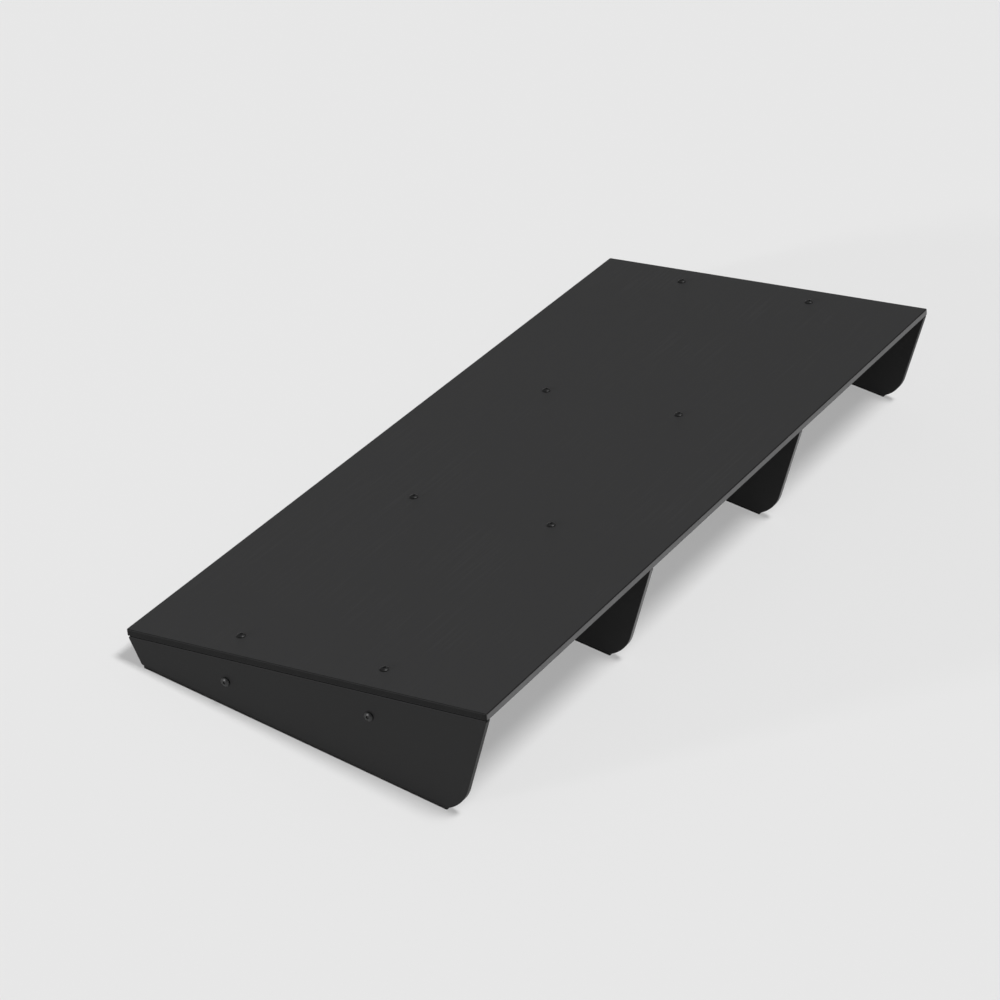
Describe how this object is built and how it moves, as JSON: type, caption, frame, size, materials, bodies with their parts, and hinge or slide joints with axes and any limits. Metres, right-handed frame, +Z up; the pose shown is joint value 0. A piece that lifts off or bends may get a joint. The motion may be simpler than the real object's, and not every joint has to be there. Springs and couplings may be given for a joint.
{
  "type": "pedalboard",
  "caption": "Low wedge-shaped pedalboard: a flat black deck screwed onto upright end plates and ribs, open underneath for cables and a power supply.",
  "frame": {"origin": "on the floor, under the middle of the board's overall box", "axes": "+X along the board, to the player's right; +Y from the low front edge to the high back edge; +Z up"},
  "size_m": [0.8048, 0.328, 0.103],
  "materials": {
    "deck_sheet": "black plastic sheet with a fine matt grain and paler machined edges",
    "plate_sheet": "the same black sheet, with a fine matt grain and paler machined edges",
    "angle_metal": "black anodised aluminium angle, satin",
    "screw_steel": "black oxide steel, oiled satin",
    "nut_steel": "black oxide steel, satin",
    "foot_rubber": "black rubber strip, matt"
  },
  "bodies": {
    "root": {"deck": "deck_sheet", "end_plate_right": "plate_sheet", "end_plate_right_angle": "angle_metal", "end_plate_right_foot_strip": "foot_rubber", "end_plate_right_deck_front_screw": "screw_steel", "end_plate_right_deck_front_nut": "nut_steel", "end_plate_right_deck_back_screw": "screw_steel", "end_plate_right_deck_back_nut": "nut_steel", "end_plate_right_side_front_screw": "screw_steel", "end_plate_right_side_front_nut": "nut_steel", "end_plate_right_side_back_screw": "screw_steel", "end_plate_right_side_back_nut": "nut_steel", "rib_right": "plate_sheet", "rib_right_angle": "angle_metal", "rib_right_foot_strip": "foot_rubber", "rib_right_deck_front_screw": "screw_steel", "rib_right_deck_front_nut": "nut_steel", "rib_right_deck_back_screw": "screw_steel", "rib_right_deck_back_nut": "nut_steel", "rib_right_side_front_screw": "screw_steel", "rib_right_side_front_nut": "nut_steel", "rib_right_side_back_screw": "screw_steel", "rib_right_side_back_nut": "nut_steel", "rib_left": "plate_sheet", "rib_left_angle": "angle_metal", "rib_left_foot_strip": "foot_rubber", "rib_left_deck_front_screw": "screw_steel", "rib_left_deck_front_nut": "nut_steel", "rib_left_deck_back_screw": "screw_steel", "rib_left_deck_back_nut": "nut_steel", "rib_left_side_front_screw": "screw_steel", "rib_left_side_front_nut": "nut_steel", "rib_left_side_back_screw": "screw_steel", "rib_left_side_back_nut": "nut_steel", "end_plate_left": "plate_sheet", "end_plate_left_angle": "angle_metal", "end_plate_left_foot_strip": "foot_rubber", "end_plate_left_deck_front_screw": "screw_steel", "end_plate_left_deck_front_nut": "nut_steel", "end_plate_left_deck_back_screw": "screw_steel", "end_plate_left_deck_back_nut": "nut_steel", "end_plate_left_side_front_screw": "screw_steel", "end_plate_left_side_front_nut": "nut_steel", "end_plate_left_side_back_screw": "screw_steel", "end_plate_left_side_back_nut": "nut_steel"}
  },
  "joints": []
}
